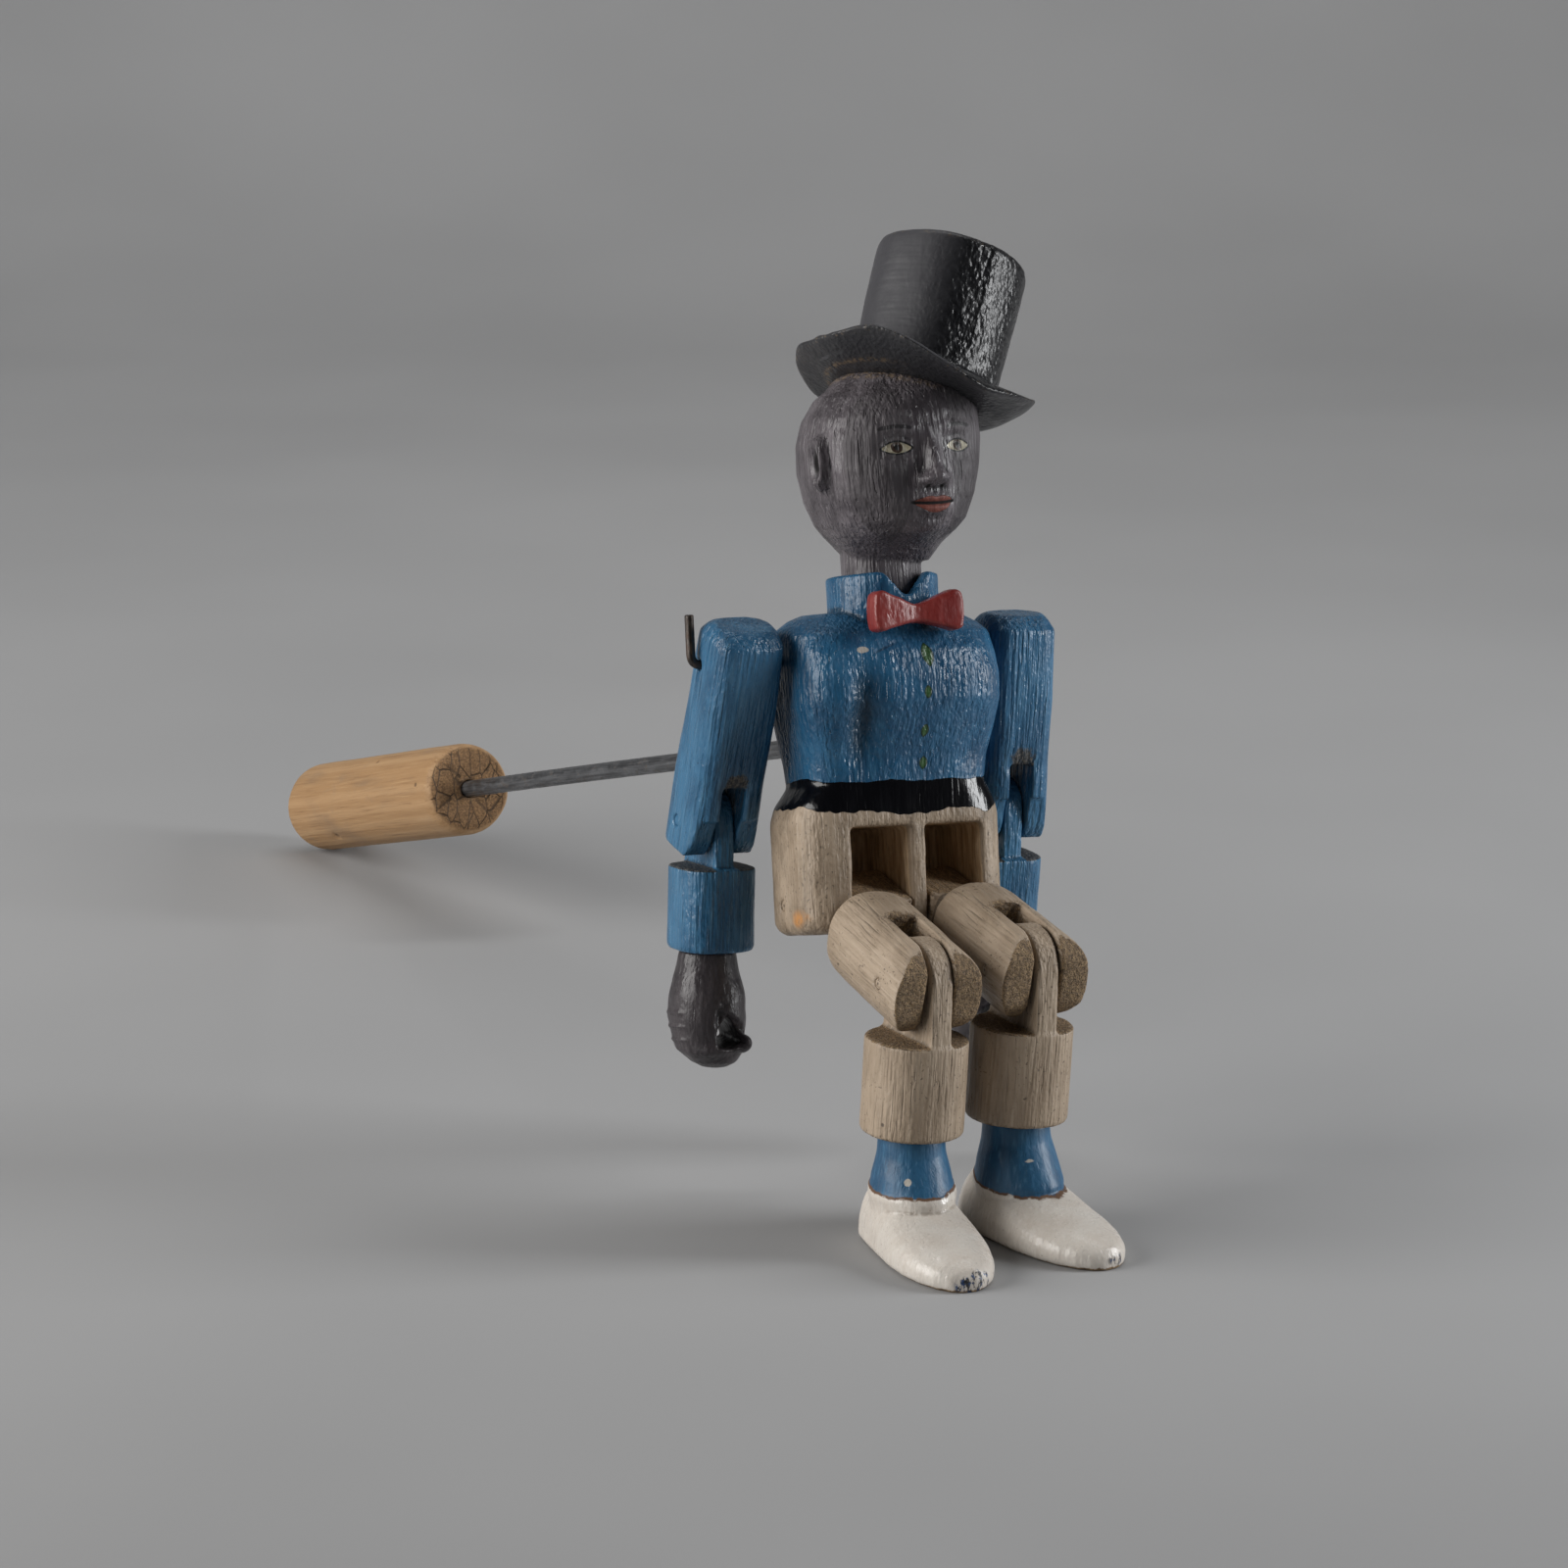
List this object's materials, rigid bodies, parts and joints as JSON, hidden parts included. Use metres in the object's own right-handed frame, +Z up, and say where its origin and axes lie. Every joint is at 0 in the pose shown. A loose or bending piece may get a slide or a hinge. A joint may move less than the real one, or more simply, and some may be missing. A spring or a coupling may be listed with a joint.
{
  "type": "jig doll",
  "caption": "Painted wooden jointed dancing figure in a top hat, crouched, held out on a steel rod with a turned wooden handle in its back.",
  "frame": {"origin": "on the table top, at the middle of the piece's footprint, with the handle behind the figure", "axes": "+Z up from the table; the figure faces -Y, the rod and handle run out behind it towards +Y, and the figure's left hand is on +X"},
  "size_m": [0.105, 0.4654, 0.2362],
  "materials": {
    "shirt_blue": "brushed mid-blue paint over vertical grain, semi-gloss, chipped at the edges",
    "trouser_cream": "thin cream paint, satin, worn to brown end grain at the cut ends",
    "head_charcoal": "charcoal paint over vertical grain, satin",
    "hat_black": "thick pebbly black gloss paint",
    "tie_red": "brick-red gloss paint",
    "shoe_white": "off-white gloss paint under blue painted socks",
    "handle_wood": "bare tan wood with grey hand wear",
    "rod_steel": "dull grey drawn steel",
    "wire_steel": "dark brown oxidised wire"
  },
  "bodies": {
    "figure": {"torso": "shirt_blue", "head": "head_charcoal", "hat": "hat_black", "bow_tie": "tie_red", "shoulder_wire": "wire_steel", "hip_pin": "wire_steel", "rod": "rod_steel", "handle": "handle_wood"},
    "right_upper_arm": {"right_upper_arm": "shirt_blue", "right_elbow_pin": "wire_steel"},
    "right_forearm": {"right_forearm": "shirt_blue", "right_hand": "head_charcoal"},
    "left_upper_arm": {"left_upper_arm": "shirt_blue", "left_elbow_pin": "wire_steel"},
    "left_forearm": {"left_forearm": "shirt_blue", "left_hand": "head_charcoal"},
    "right_thigh": {"right_thigh": "trouser_cream", "right_knee_pin": "wire_steel"},
    "right_calf": {"right_calf": "trouser_cream", "right_foot": "shoe_white"},
    "left_thigh": {"left_thigh": "trouser_cream", "left_knee_pin": "wire_steel"},
    "left_calf": {"left_calf": "trouser_cream", "left_foot": "shoe_white"}
  },
  "joints": [
    {"name": "right_shoulder", "type": "hinge", "parent": "figure", "child": "right_upper_arm", "pos_m": [-0.03671, -0.13272, 0.13404], "axis": [0.9976, 0, -0.0698], "range_deg": [-115, 100]},
    {"name": "left_shoulder", "type": "hinge", "parent": "figure", "child": "left_upper_arm", "pos_m": [0.03951, -0.13272, 0.12871], "axis": [0.9976, 0, -0.0698], "range_deg": [-115, 100]},
    {"name": "right_elbow", "type": "hinge", "parent": "right_upper_arm", "child": "right_forearm", "pos_m": [-0.03955, -0.12501, 0.09336], "axis": [0.9976, 0, -0.0698], "range_deg": [-55, 75]},
    {"name": "left_elbow", "type": "hinge", "parent": "left_upper_arm", "child": "left_forearm", "pos_m": [0.03682, -0.13427, 0.09024], "axis": [0.9976, 0, -0.0698], "range_deg": [-75, 60]},
    {"name": "right_hip", "type": "hinge", "parent": "figure", "child": "right_thigh", "pos_m": [-0.01581, -0.14817, 0.07446], "axis": [0.9976, 0, -0.0698], "range_deg": [-22, 70]},
    {"name": "left_hip", "type": "hinge", "parent": "figure", "child": "left_thigh", "pos_m": [0.01282, -0.14817, 0.07246], "axis": [0.9976, 0, -0.0698], "range_deg": [-22, 70]},
    {"name": "right_knee", "type": "hinge", "parent": "right_thigh", "child": "right_calf", "pos_m": [-0.01638, -0.19466, 0.06636], "axis": [0.9976, 0, -0.0698], "range_deg": [-80, 12]},
    {"name": "left_knee", "type": "hinge", "parent": "left_thigh", "child": "left_calf", "pos_m": [0.01239, -0.19496, 0.06631], "axis": [0.9976, 0, -0.0698], "range_deg": [-82, 12]}
  ]
}
